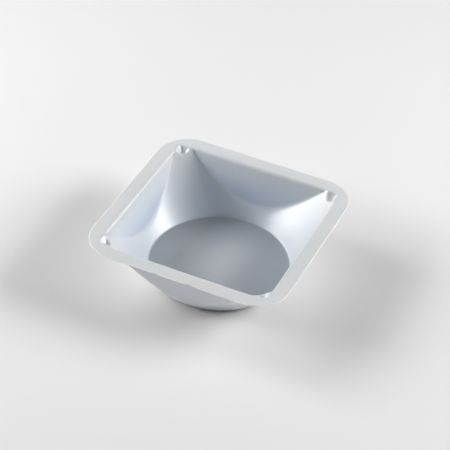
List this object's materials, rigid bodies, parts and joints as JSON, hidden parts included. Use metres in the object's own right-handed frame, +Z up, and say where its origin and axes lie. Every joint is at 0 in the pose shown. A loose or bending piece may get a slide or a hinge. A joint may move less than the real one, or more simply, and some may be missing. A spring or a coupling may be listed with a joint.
{
  "type": "weighing boat",
  "caption": "Shallow square dish with a round floor, four creased corners, a small square dimple at the top of each corner and a flat round-cornered flange, formed from thin plastic sheet.",
  "frame": {"origin": "centre of the flat underside, on the surface that the boat rests on", "axes": "+Z up out of the cup, X and Y along the flange's sides"},
  "size_m": [0.085, 0.085, 0.0238],
  "materials": {
    "polystyrene": "smooth white translucent sheet, glossy on the corner cones"
  },
  "bodies": {
    "root": {"weighing_boat": "polystyrene"}
  },
  "joints": []
}
